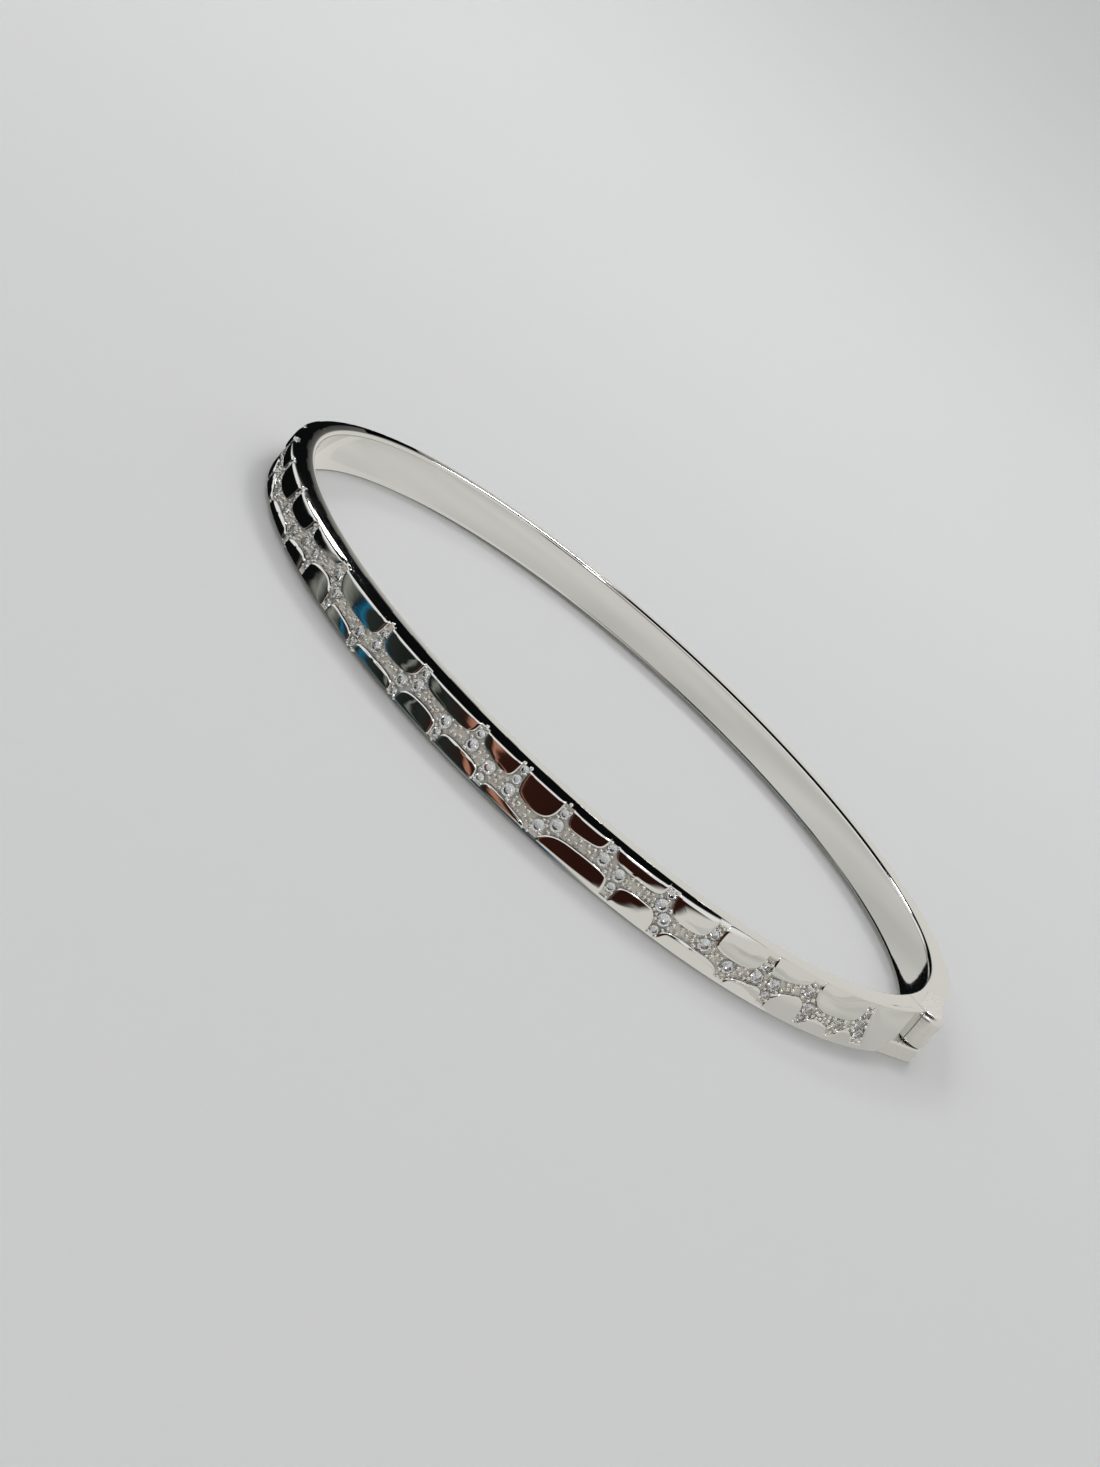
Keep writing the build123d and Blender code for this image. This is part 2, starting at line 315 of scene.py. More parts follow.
def stoneSpots():
    spots = {}
    for side, sign in (("upper", 1), ("lower", -1)):
        for number, (atEdge, middle, height) in enumerate(channels[side], start=1):
            length = oval["halfHeight"] - sign * height
            row = [(middle, height, stones["large"])]
            reach = stones["large"] + stones["small"] + stones["spacing"]
            while reach < length - stones["small"] - stones["edgeRoom"]:
                along = middle + (atEdge - middle) * reach / length
                row.append((along, height + sign * reach, stones["small"]))
                reach += 2 * stones["small"] + stones["spacing"]
            spots[f"stones_{side}_channel_{number:02d}"] = row
    return spots


cells = scaleCells()
spots = stoneSpots()
allStones = np.array([stone for row in spots.values() for stone in row])
outlines = {
    side: [scaleOutline(*cell, channels["outlinePoints"][side]) for cell in cells[side]]
    for side in cells
}
print("channel network:", sum(map(len, cells.values())), "scales,", len(allStones), "stones")


# ---- materials

# Turns an sRGB hex colour into the linear values that the shader takes.
def linear(hexColour):
    parts = [int(hexColour[k:k + 2], 16) / 255 for k in (0, 2, 4)]
    return tuple(c / 12.92 if c <= 0.04045 else ((c + 0.055) / 1.055) ** 2.4 for c in parts) + (1.0,)


# Adds a node, sets its inputs or properties by name, and links its inputs.
def addNode(tree, kind, settings=None, links=None):
    node = tree.nodes.new(kind)
    for key, value in (settings or {}).items():
        if isinstance(key, int) or key in node.inputs:
            node.inputs[key].default_value = value
        else:
            setattr(node, key, value)
    for key, source in (links or {}).items():
        tree.links.new(source, node.inputs[key])
    return node


def newMaterial(name):
    material = bpy.data.materials.new(name)
    material.use_nodes = True
    material.node_tree.nodes.clear()
    return material, material.node_tree


# Sterling silver with bright rhodium plate, cast and then polished: a cool mirror whose reflections
# wave a little, with hairline scratches from wear that only show where a light is caught.
def rhodiumPlate(name, waveSize, waveHeight, colour="e3e3e1", low=0.035, high=0.11, metallic=1.0):
    material, tree = newMaterial(name)
    place = addNode(tree, "ShaderNodeTexCoord").outputs["Object"]
    wave = addNode(
        tree, "ShaderNodeTexNoise", {"Scale": 1 / (waveSize * mm), "Detail": 1.0}, {"Vector": place})
    stretch = addNode(tree, "ShaderNodeMapping", {"Scale": (1.0, 1.0, 7.0)}, {"Vector": place})
    scratch = addNode(
        tree, "ShaderNodeTexNoise", {"Scale": 1 / (0.5 * mm), "Detail": 6.0, "Roughness": 0.7},
        {"Vector": stretch.outputs[0]})
    rough = addNode(
        tree, "ShaderNodeMapRange", {"From Min": 0.4, "From Max": 0.75, "To Min": low, "To Max": high},
        {"Value": scratch.outputs[0]})
    bump = addNode(
        tree, "ShaderNodeBump", {"Strength": 1.0, "Distance": waveHeight * mm}, {"Height": wave.outputs[0]})
    shader = addNode(
        tree, "ShaderNodeBsdfPrincipled", {"Base Color": linear(colour), "Metallic": metallic},
        {"Roughness": rough.outputs[0], "Normal": bump.outputs[0]})
    addNode(tree, "ShaderNodeOutputMaterial", None, {"Surface": shader.outputs[0]})
    return material


# Silver floor of the channels, cut by the graver and frosted white by the pickling bath: it
# scatters light like fine frost, so it stays pale and warm where the polished faces go dark.
def channelSilver(name):
    material, tree = newMaterial(name)
    place = addNode(tree, "ShaderNodeTexCoord").outputs["Object"]
    grain = addNode(
        tree, "ShaderNodeTexNoise", {"Scale": 1 / (0.16 * mm), "Detail": 3.0}, {"Vector": place})
    tone = addNode(
        tree, "ShaderNodeValToRGB", None, {"Fac": grain.outputs[0]})
    tone.color_ramp.elements[0].position = 0.3
    tone.color_ramp.elements[0].color = linear("ddd7ca")
    tone.color_ramp.elements[1].position = 0.7
    tone.color_ramp.elements[1].color = linear("f8f5ee")
    bump = addNode(
        tree, "ShaderNodeBump", {"Strength": 0.8, "Distance": 0.03 * mm}, {"Height": grain.outputs[0]})
    shader = addNode(
        tree, "ShaderNodeBsdfPrincipled", {"Metallic": 0.25, "Roughness": 0.42},
        {"Base Color": tone.outputs[0], "Normal": bump.outputs[0]})
    addNode(tree, "ShaderNodeOutputMaterial", None, {"Surface": shader.outputs[0]})
    return material


# Cubic zirconia, cut and polished: clear and very refractive, so its facets turn white, grey or
# dark by what they pick up, with a faint film of handling on some of them.
def cutZirconia(name):
    material, tree = newMaterial(name)
    place = addNode(tree, "ShaderNodeTexCoord").outputs["Object"]
    film = addNode(tree, "ShaderNodeTexNoise", {"Scale": 1 / (0.8 * mm), "Detail": 1.0}, {"Vector": place})
    rough = addNode(
        tree, "ShaderNodeMapRange", {"From Min": 0.5, "From Max": 0.8, "To Min": 0.0, "To Max": 0.05},
        {"Value": film.outputs[0]})
    shader = addNode(
        tree, "ShaderNodeBsdfPrincipled",
        {"Base Color": linear("fdfefe"), "IOR": 2.15, "Transmission Weight": 1.0},
        {"Roughness": rough.outputs[0]})
    addNode(tree, "ShaderNodeOutputMaterial", None, {"Surface": shader.outputs[0]})
    return material


# Silver strip or wire drawn through a die and not polished: fine lines along it, a soft sheen.
def drawnSilver(name, colour, lines):
    material, tree = newMaterial(name)
    place = addNode(tree, "ShaderNodeTexCoord").outputs["Object"]
    stretch = addNode(tree, "ShaderNodeMapping", {"Scale": lines}, {"Vector": place})
    line = addNode(
        tree, "ShaderNodeTexNoise", {"Scale": 1 / (0.6 * mm), "Detail": 4.0},
        {"Vector": stretch.outputs[0]})
    rough = addNode(
        tree, "ShaderNodeMapRange", {"To Min": 0.16, "To Max": 0.42}, {"Value": line.outputs[0]})
    bump = addNode(
        tree, "ShaderNodeBump", {"Strength": 0.5, "Distance": 0.006 * mm}, {"Height": line.outputs[0]})
    shader = addNode(
        tree, "ShaderNodeBsdfPrincipled", {"Base Color": linear(colour), "Metallic": 1.0},
        {"Roughness": rough.outputs[0], "Normal": bump.outputs[0]})
    addNode(tree, "ShaderNodeOutputMaterial", None, {"Surface": shader.outputs[0]})
    return material


scalePolish = rhodiumPlate("rhodium_plated_silver_scales", 2.2, 0.016)
bandPolish = rhodiumPlate("rhodium_plated_silver_band", 5.0, 0.014)
beadPolish = rhodiumPlate("rhodium_plated_silver_beads", 0.6, 0.01, "f4f2ee", 0.08, 0.2, 0.7)
hingePolish = rhodiumPlate("rhodium_plated_silver_hinge", 1.0, 0.01, "e6e6e3", 0.24, 0.36)
pressPolish = rhodiumPlate("rhodium_plated_silver_press", 0.8, 0.01, "e6e6e3", 0.06, 0.16)
channelMatt = channelSilver("graver_cut_silver_channel")
stoneClear = cutZirconia("cubic_zirconia_brilliant")
springStrip = drawnSilver("rolled_silver_spring_strip", "d9d8d4", (1.0, 1.0, 9.0))
pinWire = drawnSilver("drawn_silver_pin_wire", "d2d1cd", (9.0, 9.0, 1.0))
print("materials made")


# ---- front half: band

# Sizes of the scales. The band's own shoulders follow them.
scale = {
    "rings": 20, "dome": 0.06, "rim": 0.19, "rimSteps": 5,
    "edgeRim": 0.02,                  # the rim where a scale runs out over the band's edge
    "shoulder": 10,                   # smaller makes a rounder turn from the face to the sloping side
    "edgeBlend": (0.25, 0.05),        # the rim narrows between these distances from the edge
    "endBlend": (0.3, 0.05),          # and from the seams
    "footDrop": 0.15,                 # the foot stands this deep in the floor
    "ringSpacing": 0.8,               # below 1 crowds the rings near the rim
}


# Outer face of the front band between the scales: the channel floor, and beyond its end walls
# the same shoulder and sloping side as the scales have, a hairline lower.
def frontFaceDepth(height, distance):
    top = -crownFall(height) - scale["dome"] - channels["wallDrop"]
    edge = softMin(top, flankDepth(height, distance), scale["shoulder"])
    wall = smoothStep(channels["floorHalf"], channels["wallHalf"], np.abs(height))
    return floorDepth(height) + (edge - oval["hairline"] - floorDepth(height)) * wall


# Sections of a band from its hinge end to its clasp end, worked out at evenly spaced distances.
def bandSections(faceDepth, half, alongSteps, acrossSteps):
    rows = [bandSection(half, distance, faceDepth, acrossSteps)
            for distance in np.linspace(hingeEnd, claspEnd, alongSteps)]
    return np.array(rows).transpose(2, 0, 1)


frontBand = {
    "alongSteps": 620, "acrossSteps": 49,
    "seatDrop": 0.3,
    "seatFrom": 0.35, "seatTo": 1.05,  # where a seat's slope lies, as shares of the stone's radius
    "outerFrom": -1.0,                # points above this depth belong to the outer face
    "edgeRoom": 0.05,                 # and stay this far from the edge faces
    "mattFrom": -0.9,                 # faces above this depth are channel, unless they lie
    "mattRoom": 0.06,                 # nearer than this to the end walls' tops
}


# Swept band: each section point goes round the oval shrunk by its depth, from the seam plane at
# the hinge. Outer points of the front are lowered under every stone by seatDrop times a smooth
# step of the distance to it.
# Known fault: last should be pi + arcsin. As it stands the band runs 7 mm past the clasp's seam,
# inside the back half, and the clasp's box has no mouth.
def makeFrontBand():
    half = oval["halfHeight"] - oval["hairline"]
    height, depth = bandSections(frontFaceDepth, half, frontBand["alongSteps"], frontBand["acrossSteps"])
    share = np.linspace(0, 1, frontBand["alongSteps"])[:, None]
    short = oval["halfShort"] + depth
    first = -np.arcsin(seams["frontHinge"] / short)
    last = math.pi - np.arcsin(seams["frontClasp"] / short)
    turn = first + (last - first) * share
    distance = np.interp(turn, ovalAngles, ovalLengths)
    drop = np.zeros(turn.shape)
    for along, up, radius in allStones:
        away = np.hypot(distance - along, height - up)
        slope = smoothStep(frontBand["seatFrom"] * radius, frontBand["seatTo"] * radius, away)
        drop = np.maximum(drop, frontBand["seatDrop"] * (1 - slope))
    outside = (depth > frontBand["outerFrom"]) & (np.abs(height) < half - frontBand["edgeRoom"])
    depth = depth - drop * outside
    x = (oval["halfLong"] + depth) * np.cos(turn)
    y = -(oval["halfShort"] + depth) * np.sin(turn)
    return cappedTube(np.stack([x, y, height], -1))


# Slice of a ring about the hinge pin, the path that the tongue swings along:
# x = pin x - sqrt(radius^2 - (y - pin y)^2), cut off at two values of y.
def ringSlice(name, innerRadius, outerRadius, lowY, highY, halfHeight):
    y = np.linspace(lowY, highY, 7)[:, None]
    radius = np.array([innerRadius, outerRadius, outerRadius, innerRadius])[None, :]
    z = np.array([-1, -1, 1, 1])[None, :] * halfHeight
    x = hingeX - np.sqrt(radius ** 2 - (y - hingeY) ** 2)
    return meshPiece(name, *cappedTube(np.stack(np.broadcast_arrays(x, y, z), -1)), None, flat=True)


clasp = {
    "seam": -3.5,                     # y of the plane where the halves meet
    "radius": 63.4, "tongueHalf": 0.39, "clearance": 0.12, "tongueLength": 3.2, "tongueHeight": 1.9,
    "plateExtra": 0.3, "plateDepth": 0.45, "plateHeight": 2.8, "thumbWidth": 1.4,
    "thumbLength": 1.25,
    "slotRoom": 0.1,                  # room round the leaf and the thumb press in the back half
    "slotFrom": -5.0,
    "leafSlotInset": 0.22, "leafSlotHalf": 1.05,
    "thumbSlotDepth": 3.0,
}


# Cutters for the box that takes the tongue and for the step that the catch plate lies in.
def claspBox():
    top = clasp["seam"]
    reach = clasp["tongueHalf"] + clasp["clearance"]
    end = top - clasp["tongueLength"] - 2 * clasp["clearance"]
    box = ringSlice(
        "clasp_box", clasp["radius"] - reach, clasp["radius"] + reach, end, top + past,
        clasp["tongueHeight"] / 2 + clasp["clearance"])
    plate = clasp["tongueHalf"] + clasp["plateExtra"]
    step = ringSlice(
        "plate_step", clasp["radius"] - plate, clasp["radius"] + plate,
        top - clasp["plateDepth"], top + past, clasp["plateHeight"] / 2)
    return [box, step]


# Outline round two circles: the arc of each that faces away from the other, joined by tangents.
def arcsOutline(centres, radii, inset):
    steps = 40
    (ax, ay), (bx, by) = centres
    ra, rb = radii[0] - inset, radii[1] - inset
    toward = math.atan2(by - ay, bx - ax)
    opening = math.acos((ra - rb) / math.hypot(bx - ax, by - ay))
    farA = np.linspace(toward + opening, toward + 2 * math.pi - opening, steps)
    farB = np.linspace(toward - opening, toward + opening, steps)
    first = np.stack([ax + ra * np.cos(farA), ay + ra * np.sin(farA)], -1)
    second = np.stack([bx + rb * np.cos(farB), by + rb * np.sin(farB)], -1)
    return np.concatenate([first, second])


# Block with that outline and quarter-round bottom and top edges: the outline shrinks by
# r - r sin t while the height turns in by r - r cos t.
def armBlock(name, centres, radii, low, high, lowEdge, material, highEdge=None):
    highEdge = highEdge or lowEdge
    levels = []
    for t in np.linspace(0, math.pi / 2, 6):
        levels.append((lowEdge * (1 - math.sin(t)), low + lowEdge * (1 - math.cos(t))))
    for t in np.linspace(math.pi / 2, 0, 9):
        levels.append((highEdge * (1 - math.sin(t)), high - highEdge * (1 - math.cos(t))))
    rows = []
    for inset, z in levels:
        flat = arcsOutline(centres, radii, inset)
        rows.append(np.column_stack([flat, np.full(len(flat), z)]))
    return meshPiece(name, *cappedTube(np.array(rows)), material)


# Upright cylinder from low to high.
def pinBlock(name, radius, low, high):
    turn = np.linspace(0, 2 * math.pi, 49)[:-1]
    ring = np.stack([hingeX + radius * np.cos(turn), hingeY + radius * np.sin(turn), 0 * turn], -1)
    grid = np.stack([ring + (0, 0, low), ring + (0, 0, high)])
    return meshPiece(name, *cappedTube(grid), None, flat=True)


hinge = {
    "knuckle": 1.3, "split": -0.7, "gap": 0.06, "pinHole": 0.47,
    "pinCover": 0.4,                  # metal left above the blind end of the pin
    "notchEdge": 0.01,
    "edge": 0.16,                     # rounding of the lower knuckle
    "shoulder": 0.5,                  # rounding of the upper knuckle, which stands out as a smooth barrel
    "frontAnchor": (31.4, 0.2), "frontAnchorRadius": 1.0,
    "backAnchor": (30.65, 6.2), "backAnchorRadius": 0.95,
}
hingeCentre = (hingeX, hingeY)
halfHeight = oval["halfHeight"]

frontHalf = meshPiece("front_band", *makeFrontBand(), channelMatt)
carve(frontHalf, claspBox())
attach(frontHalf, "front")
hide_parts("front_half")
# Only the channel floor is matt: faces deeper in the wall, or near the edges, stay polished.
frontHalf.data.materials.append(bandPolish)
middles = np.empty(len(frontHalf.data.polygons) * 3)
frontHalf.data.polygons.foreach_get("center", middles)
middles = middles.reshape(-1, 3) / mm
ovalReach = np.hypot(
    middles[:, 0] / (oval["halfLong"] + frontBand["mattFrom"]),
    middles[:, 1] / (oval["halfShort"] + frontBand["mattFrom"]))
onFlank = np.abs(middles[:, 2]) > channels["wallHalf"] - frontBand["mattRoom"]
frontHalf.data.polygons.foreach_set("material_index", ((ovalReach < 1) | onFlank).astype(int))

frontKnuckle = armBlock(
    "front_knuckle", (hingeCentre, hinge["frontAnchor"]), (hinge["knuckle"], hinge["frontAnchorRadius"]),
    -halfHeight, hinge["split"], hinge["edge"], hingePolish)
carve(frontKnuckle, [pinBlock("pin_hole", hinge["pinHole"], -halfHeight - past, halfHeight)])
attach(frontKnuckle, "front")
print("front band and knuckle made")


# ---- front half: scales

# One scale as rings from its foot to its middle. The foot stands in the channel floor, the rim
# turns over a quarter circle, and the top is the crowned face less dome times the squared share
# of the way out, cut softly by the sloping flank.
def scaleRings(centre, outline):
    ahead, behind = np.roll(outline, -1, 0), np.roll(outline, 1, 0)
    along = (ahead - behind) / np.linalg.norm(ahead - behind, axis=1, keepdims=True)
    inward = np.stack([-along[:, 1], along[:, 0]], -1)
    inward *= np.sign(np.einsum("ij,ij->i", inward, centre - outline))[:, None]
    atEdge = smoothStep(*scale["edgeBlend"], oval["halfHeight"] - np.abs(outline[:, 1]))
    atEnd = smoothStep(*scale["endBlend"], np.minimum(outline[:, 0] - hingeEnd, claspEnd - outline[:, 0]))
    rim = scale["rim"] + (scale["edgeRim"] - scale["rim"]) * np.maximum(atEdge, atEnd)
    rings = []
    drops = []
    for t in np.linspace(0, math.pi / 2, scale["rimSteps"]):
        rings.append(outline + inward * (rim * (1 - math.cos(t)))[:, None])
        drops.append(rim * (1 - math.sin(t)))
    inner = rings[-1]
    for share in np.linspace(1, 0, scale["rings"] + 1)[1:-1]:
        rings.append(centre + (inner - centre) * share ** scale["ringSpacing"])
        drops.append(0 * rim)
    spot = np.array(rings)
    reach = np.linalg.norm(outline - centre, axis=1)
    share = np.linalg.norm(spot - centre, axis=2) / reach
    height = spot[..., 1]
    top = -crownFall(height) - scale["dome"] * share ** 2
    depth = softMin(top, flankDepth(height, spot[..., 0]), scale["shoulder"]) - np.array(drops)
    foot = np.minimum(floorDepth(outline[:, 1]), flankDepth(outline[:, 1], outline[:, 0]))
    foot -= scale["footDrop"]
    spot = np.concatenate([outline[None], spot])
    depth = np.concatenate([foot[None], depth])
    return spot, depth


# Joins the scales of one row into one mesh: rings, a fan to the middle and a flat foot.
def makeScales(row):
    points, faces, start = [], [], 0
    for centre, outline in row:
        spot, depth = scaleRings(centre, outline)
        rings, around = depth.shape
        grid = onFront(spot[..., 0], spot[..., 1], depth).reshape(-1, 3)
        side = flankDepth(centre[1], centre[0])
        middle = onFront(centre[0], centre[1], softMin(-crownFall(centre[1]), side, scale["shoulder"]))
        points += [grid, middle[None]]
        faces += gridFaces(rings, around, start=start)
        last, pole = start + (rings - 1) * around, start + rings * around
        k = np.arange(around)
        faces += np.stack([last + k, last + (k + 1) % around, np.full(around, pole)], -1).tolist()
        faces.append((start + k[::-1]).tolist())
        start = pole + 1
    return np.concatenate(points), faces


# Known fault: the cut for the clasp's box leaves only a sliver of the plain end at the clasp.
for side, label in (("upper", "upper_scales"), ("lower", "lower_scales"), ("plain", "plain_ends")):
    piece = meshPiece(label, *makeScales(outlines[side]), scalePolish, sharpAngle=50)
    if side == "plain":
        carve(piece, claspBox(), 50)
    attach(piece, "front")
print("scales made")


# ---- stones and the beads that hold them

# Cut of the stones, as shares of the radius: the table's radius, then heights above the girdle.
gem = {"table": 0.58, "crown": 0.3, "halfGirdle": 0.03, "point": -0.84}


# Round brilliant of radius 1 about its girdle: an eight-sided table, 24 crown facets, a thin
# girdle and 16 facets running down to the point.
def brilliant():
    eight = np.arange(8) * math.pi / 4
    sixteen = np.arange(16) * math.pi / 8
    tableRim = gem["table"] * np.stack([np.cos(eight), np.sin(eight)], -1)
    table = np.column_stack([tableRim, np.full(len(eight), gem["crown"])])
    girdle = np.stack([np.cos(sixteen), np.sin(sixteen), 0 * sixteen + gem["halfGirdle"]], -1)
    points = np.concatenate([table, girdle, girdle * (1, 1, -1), [[0, 0, gem["point"]]]])
    faces = [list(range(8))]
    for k in range(8):
        before, at, after = 8 + (2 * k - 1) % 16, 8 + 2 * k, 8 + (2 * k + 1) % 16
        faces += [[k, before, at], [k, at, after], [k, after, (k + 1) % 8]]
    for k in range(16):
        after = (k + 1) % 16
        faces += [[8 + k, 24 + k, 24 + after, 8 + after], [24 + k, 40, 24 + after]]
    return points, faces


# Places a shape (x along the band, y up, z outwards) at each spot on the front.
def placeOnFront(shape, distance, height, depth):
    along, out = frontAxes(distance)
    spot = onFront(distance, height, depth)
    return spot + shape[:, :1] * along + shape[:, 1:2] * np.array([0, 0, 1.0]) + shape[:, 2:] * out


gemPoints, gemFaces = brilliant()
chance = np.random.default_rng(stones["seed"])
for node, row in spots.items():
    points, faces = [], []
    for distance, height, radius in row:
        turn, tilt = chance.uniform(0, math.pi / 4), chance.normal(0, stones["tilt"], 2)
        c, s = math.cos(turn), math.sin(turn)
        shape = gemPoints @ np.array([[c, s, 0], [-s, c, 0], [0, 0, 1]])
        shape[:, 2] += shape[:, :2] @ tilt
        depth = -crownFall(height) - stones["sink"] - gem["crown"] * radius
        start = len(points) * len(gemPoints)
        points.append(placeOnFront(shape * radius, distance, height, depth))
        faces += [[corner + start for corner in face] for face in gemFaces]
    gems = meshPiece("cut_" + node, np.concatenate(points), faces, stoneClear, flat=True)
    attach(gems, "front")
    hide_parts(node)
print("stones made")

bead = {
    "size": (0.12, 0.19), "claw": 0.17,  # radii
    "clawReach": 0.4,                 # share of the claw's radius that clears the stone
    "tries": 9000, "span": (2.6, 86.2), "edgeRoom": 0.3,
    "stoneRoom": 0.45,                # share of a bead's radius that clears the stones
    "scaleOverlap": 0.05,
    "around": 10, "rings": 5, "top": -0.1,
    "capEdge": 0.25,                  # polar angle of the last ring
    "post": -2.2,                     # foot of the post, as a share of the radius
    "seed": 11,
}


# True where spots lie inside a cell's scale by more than the margin, from the same sum of
# exponentials as its outline.
def insideScale(spot, corners, onEdge, margin):
    corners, gap = cellGaps(spot, corners)
    sharp = np.where(onEdge, channels["edgeRoundness"], channels["roundness"])
    gap = gap - np.where(onEdge, 0, channels["halfWidth"]) - margin
    return np.exp(-sharp * np.clip(gap, *channels["gapLimits"])).sum(1) < 1


# Two claws at the outer side of the last stone of every branch, at 45 degrees to the band's edge.
def clawSpots():
    claws = []
    for row in spots.values():
        distance, height, radius = max(row, key=lambda stone: abs(stone[1]))
        reach = (radius + bead["clawReach"] * bead["claw"]) * math.sqrt(0.5)
        outward = 1 if row[-1][1] > 0 else -1
        for turn in (-1, 1):
            claws.append((distance + turn * reach, height + outward * reach, bead["claw"]))
    return np.array(claws)


# Beads raised with a graver all along the channels: random spots, kept where they are clear of
# the scales, the stones and the beads before them.
def beadSpots():
    draw = np.random.default_rng(bead["seed"])
    edge = oval["halfHeight"] - bead["edgeRoom"]
    along = draw.uniform(*bead["span"], bead["tries"])
    spot = np.stack([along, draw.uniform(-edge, edge, bead["tries"])], -1)
    size = draw.uniform(*bead["size"], bead["tries"])
    toStones = np.linalg.norm(spot[:, None] - allStones[:, :2], axis=2) - allStones[:, 2]
    clear = toStones.min(1) > bead["stoneRoom"] * size
    for side in cells:
        for corners, onEdge in cells[side]:
            clear &= ~insideScale(spot, corners, onEdge, -bead["scaleOverlap"])
    found = clawSpots()
    for x, z, r in np.column_stack([spot, size])[clear]:
        if (np.hypot(found[:, 0] - x, found[:, 1] - z) - found[:, 2] - r).min() > 0:
            found = np.append(found, [[x, z, r]], 0)
    return found


# Bead: a dome of rings r sin t at height r cos t on a short straight post, closed underneath.
def makeBeads(found):
    turn = np.linspace(0, 2 * math.pi, bead["around"] + 1)[:-1]
    rise = np.linspace(math.pi / 2, bead["capEdge"], bead["rings"])
    radius = np.concatenate([[1.0], np.sin(rise)])
    level = np.concatenate([[bead["post"]], np.cos(rise) - 1])
    points, faces = [], []
    rows, columns = len(radius), bead["around"]
    ring = np.stack([np.cos(turn), np.sin(turn)], -1)
    shape = np.concatenate([
        np.column_stack([ring * r, np.full(len(ring), z)]) for r, z in zip(radius, level)])
    for x, z, size in found:
        start = len(points) * len(shape)
        depth = -crownFall(z) + bead["top"]
        points.append(placeOnFront(shape * size, x, z, depth))
        faces += gridFaces(rows, columns, start=start)
        faces.append([start + k for k in range(columns)][::-1])
        faces.append([start + (rows - 1) * columns + k for k in range(columns)])
    return np.concatenate(points), faces


beadList = beadSpots()
beads = meshPiece("grain_beads", *makeBeads(beadList), beadPolish, sharpAngle=70)
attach(beads, "front")
print("grain beads made:", len(beadList))


# ---- back half

backBand = {
    "alongSteps": 260, "acrossSteps": 33, "shoulder": 12,
    "taperFrom": 4.0, "taperTo": 30.0, "slimHalf": 1.5,
}


# Outer face of the back band: the crown, turned down softly to the sloping sides.
def backFaceDepth(height, distance):
    face = softMin(-crownFall(height), flankDepth(height, distance), backBand["shoulder"])
    return face - oval["hairline"]


# Plain band swept like the front one, on the other side. Its height falls evenly with y from
# the full height near the ends to the slim height.
def makeBackBand():
    half = oval["halfHeight"] - oval["hairline"]
    height, depth = bandSections(backFaceDepth, half, backBand["alongSteps"], backBand["acrossSteps"])
    share = np.linspace(0, 1, backBand["alongSteps"])[:, None]
    short = oval["halfShort"] + depth
    first = np.arcsin(seams["backHinge"] / short)
    last = math.pi - np.arcsin(seams["backClasp"] / short)
    turn = first + (last - first) * share
    x = (oval["halfLong"] + depth) * np.cos(turn)
    y = (oval["halfShort"] + depth) * np.sin(turn)
    span = backBand["taperTo"] - backBand["taperFrom"]
    fall = (oval["halfHeight"] - backBand["slimHalf"]) * np.clip(y - backBand["taperFrom"], 0, None) / span
    z = height * (1 - fall / oval["halfHeight"])
    return cappedTube(np.stack([x, y, z], -1))


backHalf = meshPiece("back_band", *makeBackBand(), bandPolish)
notch = armBlock(
    "notch", (hingeCentre, hinge["frontAnchor"]),
    (hinge["knuckle"] + hinge["gap"], hinge["frontAnchorRadius"] + hinge["gap"]),
    -halfHeight - 2 * past, hinge["split"] + hinge["gap"], hinge["notchEdge"], None)
leafInner = clasp["radius"] - clasp["tongueHalf"]
leafOuter = clasp["radius"] + clasp["tongueHalf"]
slotEnd = clasp["seam"] + clasp["thumbLength"] + clasp["slotRoom"]
slots = [
    notch,
    ringSlice(
        "leaf_slot", leafInner + clasp["leafSlotInset"], leafOuter + clasp["slotRoom"],
        clasp["slotFrom"], slotEnd, clasp["leafSlotHalf"]),
    ringSlice(
        "thumb_slot", leafOuter, leafOuter + clasp["thumbSlotDepth"],
        clasp["slotFrom"], slotEnd, clasp["thumbWidth"] / 2 + clasp["slotRoom"]),
]
carve(backHalf, slots)
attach(backHalf, "back")
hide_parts("back_half")

backKnuckle = armBlock(
    "back_knuckle", (hingeCentre, hinge["backAnchor"]), (hinge["knuckle"], hinge["backAnchorRadius"]),
    hinge["split"] + hinge["gap"], halfHeight, hinge["edge"], hingePolish, hinge["shoulder"])
boreTop = halfHeight - hinge["pinCover"]
carve(backKnuckle, [pinBlock("pin_bore", hinge["pinHole"], -halfHeight - past, boreTop)])
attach(backKnuckle, "back")
print("back band and knuckle made")


# ---- CAD pieces that stay as they are get their own finish

finishes = {
    "hinge_pin": pinWire,
    "catch_plate": bandPolish,
    "tongue_inner_leaf": springStrip,
    "tongue_outer_leaf": springStrip,
    "thumb_press": pressPolish,
}
for node, finish in finishes.items():
    for holder in frame["nodes"][node].material_slots:
        holder.material = finish


# ---- camera, floor and light

view = {
    "from": (80.0, -146.94, 45.58), "at": (4.46, -12.84, 0.0),
    "roll": 39.5, "lens": 38.64, "sensor": 24.0, "nearest": 0.005,
}
camera = bpy.data.objects.new("camera", bpy.data.cameras.new("camera"))
scene.collection.objects.link(camera)
camera.data.sensor_fit = "VERTICAL"
camera.data.sensor_height = view["sensor"]
camera.data.lens = view["lens"]
camera.data.clip_start = view["nearest"]
camera.location = Vector(view["from"]) * mm
camera.rotation_mode = "QUATERNION"
aim = (Vector(view["at"]) - Vector(view["from"])).to_track_quat("-Z", "Y")
camera.rotation_quaternion = aim @ Quaternion((0, 0, 1), math.radians(view["roll"]))
scene.camera = camera

